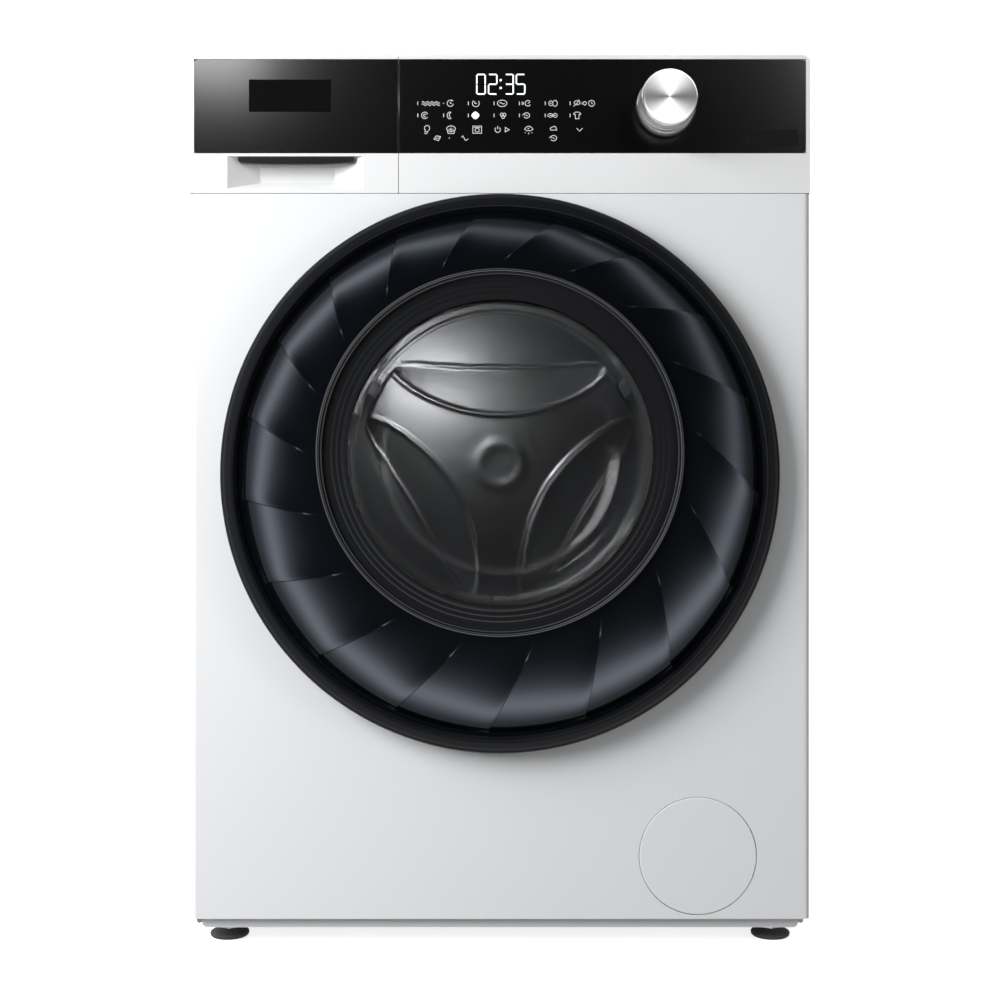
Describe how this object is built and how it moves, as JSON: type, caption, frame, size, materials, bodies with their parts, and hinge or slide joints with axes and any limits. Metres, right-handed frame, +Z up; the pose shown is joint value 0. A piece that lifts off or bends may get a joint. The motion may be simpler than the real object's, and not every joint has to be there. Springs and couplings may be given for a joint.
{
  "type": "front load washing machine",
  "caption": "Free-standing front load washing machine: enamelled cabinet, drawer, rotary knob, swirled round glass door, sprung tub with belt-driven drum and screw feet.",
  "frame": {"origin": "on the floor under the middle of the machine's box", "axes": "+Z up; front and door face -Y; +X to the right seen from the front"},
  "size_m": [0.595, 0.626, 0.858],
  "materials": {
    "cabinet_enamel": "white baked enamel, fine orange peel",
    "cover_white": "white moulded plastic, satin gloss",
    "galvanised": "galvanised sheet steel",
    "black_glass": "back-printed black glass, polished",
    "black_plastic": "black moulded plastic",
    "display": "display module, dark",
    "grey_plastic": "grey moulded plastic",
    "knob_aluminium": "radially spun aluminium with a diamond-cut rim",
    "chrome": "chromed skirt, polished",
    "bezel_dark": "dark satin door bezel",
    "vane_dark": "blue-black glossy moulded vanes",
    "tinted_glass": "smoked window glass",
    "bowl_glass": "pressed glass bowl",
    "frame_grey": "grey inner door frame",
    "steel": "machined steel",
    "drum_stainless": "stainless drum, finely brushed",
    "lifter_plastic": "grey moulded lifters",
    "pulley_aluminium": "cast aluminium pulley",
    "concrete": "cast concrete ballast",
    "rubber": "black rubber",
    "gasket_rubber": "grey moulded door gasket"
  },
  "bodies": {
    "cabinet": {"cabinet_wrap": "cabinet_enamel", "front_panel": "cabinet_enamel", "rear_panel": "galvanised", "rear_service_cover": "cabinet_enamel", "base_frame": "cabinet_enamel", "top_cover": "cover_white", "top_brace": "galvanised", "console_frame": "cover_white", "console_glass": "black_glass", "display_module": "display", "control_housing": "black_plastic", "dispenser_housing": "grey_plastic", "inlet_valve": "grey_plastic", "fill_hose": "rubber", "door_lock": "black_plastic", "hinge_bracket": "galvanised", "hinge_pin": "steel", "door_gasket": "gasket_rubber", "sump_hose": "rubber", "drain_pump": "black_plastic", "pump_filter_housing": "grey_plastic", "drain_spigot": "grey_plastic", "damper_cylinders": "galvanised", "suspension_springs": "galvanised", "cord_gland": "black_plastic", "cabinet_screws": "steel"},
    "drawer": {"drawer_front": "cover_white", "drawer_glass": "black_glass", "drawer_grip": "black_plastic", "drawer_tray": "grey_plastic"},
    "knob": {"knob_cap": "knob_aluminium", "knob_skirt": "chrome"},
    "door": {"door_bezel": "bezel_dark", "door_vane_ring": "vane_dark", "window_trim": "vane_dark", "window_pane": "tinted_glass", "glass_bowl": "bowl_glass", "door_inner_frame": "frame_grey", "hinge_arm": "steel", "latch_hook": "steel"},
    "tub": {"tub_front": "grey_plastic", "tub_rear": "grey_plastic", "counterweights": "concrete", "heater": "steel", "drum_bearings": "steel", "motor_stator": "galvanised", "damper_rods": "grey_plastic", "drive_belt": "rubber"},
    "drum": {"drum_shell": "drum_stainless", "drum_front_end": "drum_stainless", "drum_lifters": "lifter_plastic", "drum_spider": "steel", "drum_pulley": "pulley_aluminium"},
    "rotor": {"motor_rotor": "steel"},
    "filter": {"filter_plug": "grey_plastic"},
    "filter_cover": {"service_cover": "cover_white"},
    "foot_fl": {"foot_front_left": "rubber"},
    "foot_fr": {"foot_front_right": "rubber"},
    "foot_rl": {"foot_rear_left": "rubber"},
    "foot_rr": {"foot_rear_right": "rubber"}
  },
  "joints": [
    {"name": "door_hinge", "type": "hinge", "parent": "cabinet", "child": "door", "pos_m": [-0.256, -0.279, 0.456], "axis": [0, 0, -1], "range_deg": [0, 120]},
    {"name": "drawer_slide", "type": "slide", "parent": "cabinet", "child": "drawer", "axis": [0, -1, 0], "range_m": [0, 0.18]},
    {"name": "knob_turn", "type": "hinge", "parent": "cabinet", "child": "knob", "pos_m": [0.1587, -0.266, 0.808], "axis": [0, -1, 0], "continuous": true},
    {"name": "tub_bounce", "type": "slide", "parent": "cabinet", "child": "tub", "axis": [0, 0, 1], "range_m": [-0.008, 0.008], "stiffness_N_per_m": 14000, "springref_m": 0.02516, "deforming": ["suspension_springs", "sump_hose", "door_gasket"]},
    {"name": "drum_spin", "type": "hinge", "parent": "tub", "child": "drum", "pos_m": [0, 0.004, 0.475], "axis": [0, -1, 0], "continuous": true},
    {"name": "motor_spin", "type": "hinge", "parent": "tub", "child": "rotor", "pos_m": [0, 0.174, 0.148], "axis": [0, -1, 0], "continuous": true},
    {"name": "filter_turn", "type": "hinge", "parent": "cabinet", "child": "filter", "pos_m": [0.1899, -0.226, 0.0893], "axis": [0, -1, 0], "range_deg": [0, 270]},
    {"name": "filter_cover_pull", "type": "slide", "parent": "cabinet", "child": "filter_cover", "axis": [0, -1, 0], "range_m": [0, 0.03]},
    {"name": "foot_fl_screw", "type": "slide", "parent": "cabinet", "child": "foot_fl", "axis": [0, 0, -1], "range_m": [0, 0.012]},
    {"name": "foot_fr_screw", "type": "slide", "parent": "cabinet", "child": "foot_fr", "axis": [0, 0, -1], "range_m": [0, 0.012]},
    {"name": "foot_rl_screw", "type": "slide", "parent": "cabinet", "child": "foot_rl", "axis": [0, 0, -1], "range_m": [0, 0.012]},
    {"name": "foot_rr_screw", "type": "slide", "parent": "cabinet", "child": "foot_rr", "axis": [0, 0, -1], "range_m": [0, 0.012]}
  ],
  "couplings": [
    {"joint": "motor_spin", "follows": "drum_spin", "ratio": 12.727}
  ]
}
